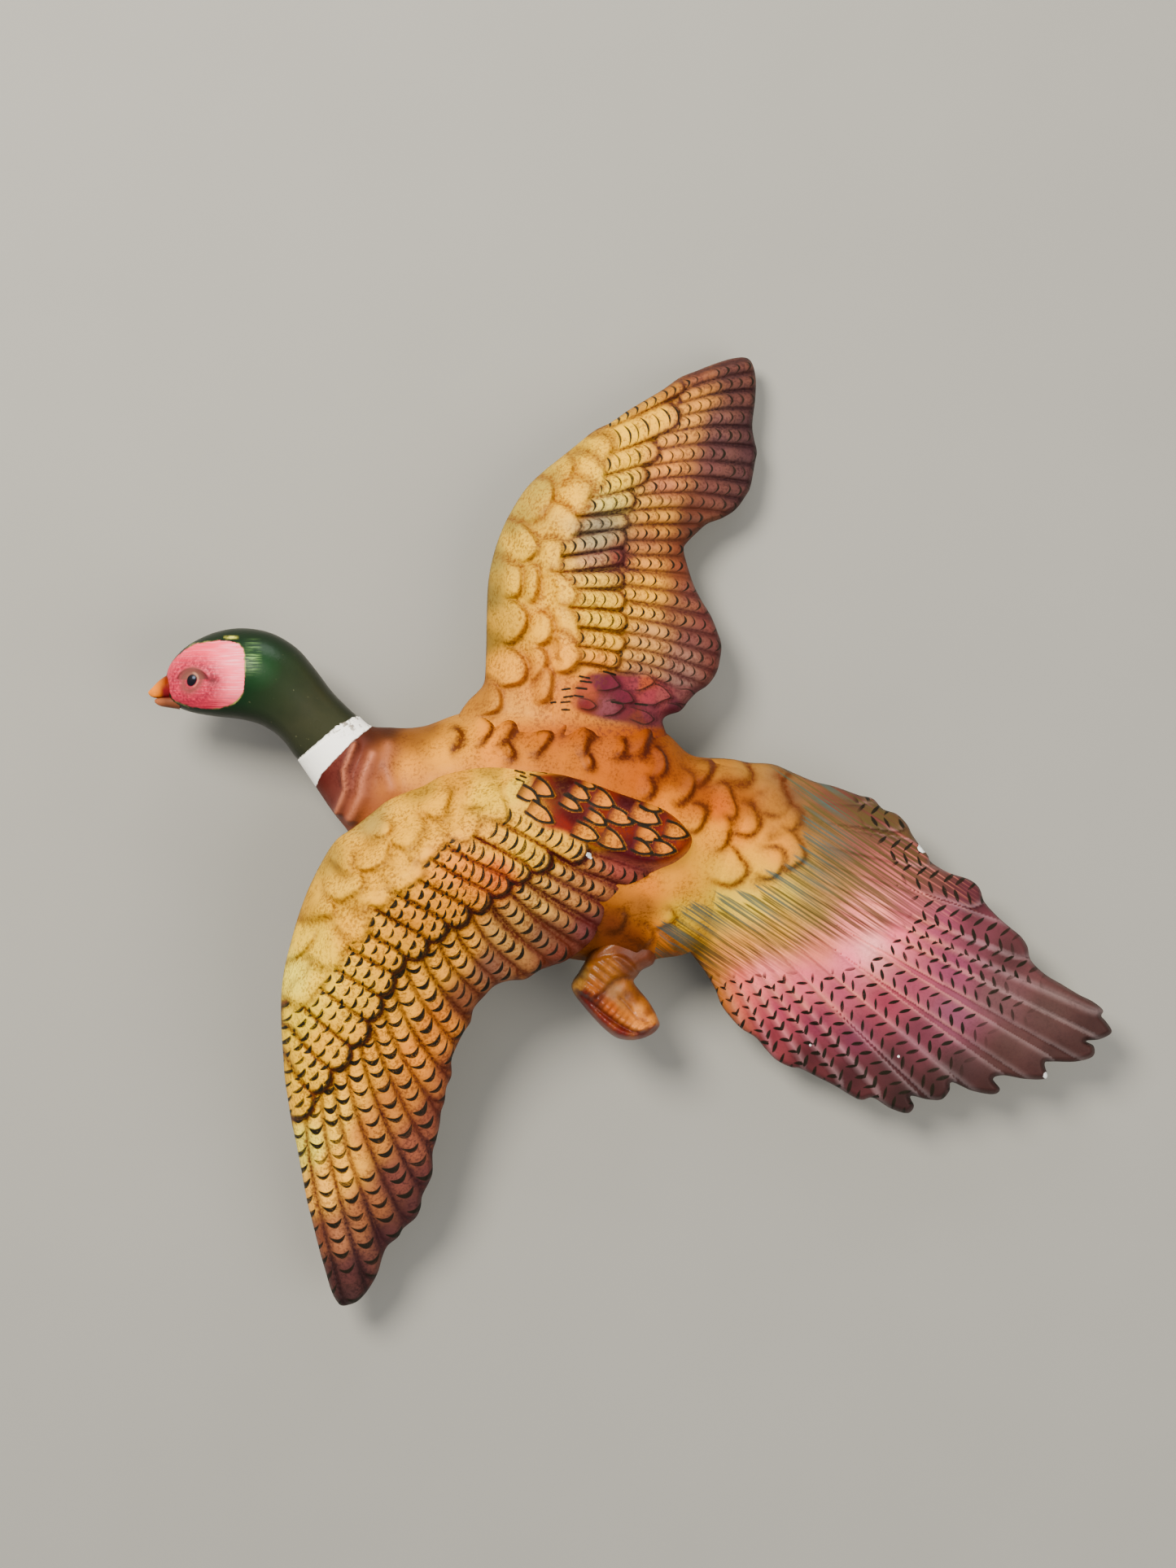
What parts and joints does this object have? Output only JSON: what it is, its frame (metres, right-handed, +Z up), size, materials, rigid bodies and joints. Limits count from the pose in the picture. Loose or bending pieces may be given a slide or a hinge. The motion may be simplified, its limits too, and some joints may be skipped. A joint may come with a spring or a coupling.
{
  "type": "pheasant wall figure",
  "caption": "Hollow ceramic wall figure of a flying pheasant with spread wings and fanned tail, hung on a nail by a hole in its flat back.",
  "frame": {"origin": "centre of the hanging hole's mouth in the flat back of the body, on the wall plane", "axes": "+Y into the wall, +Z up, +X to the viewer's right, towards the tail; the bird's head points to -X"},
  "size_m": [0.2808, 0.0539, 0.2755],
  "materials": {
    "painted_body": "satin",
    "bare_back": "matte",
    "painted_head": "satin",
    "painted_wing": "satin",
    "painted_tail": "satin",
    "painted_leg": "satin"
  },
  "bodies": {
    "root": {"torso_front_shell": "painted_body", "torso_back_shell": "bare_back", "head_and_neck": "painted_head", "near_wing": "painted_wing", "far_wing": "painted_wing", "tail_fan": "painted_tail", "near_leg": "painted_leg", "far_leg": "painted_leg"}
  },
  "joints": []
}
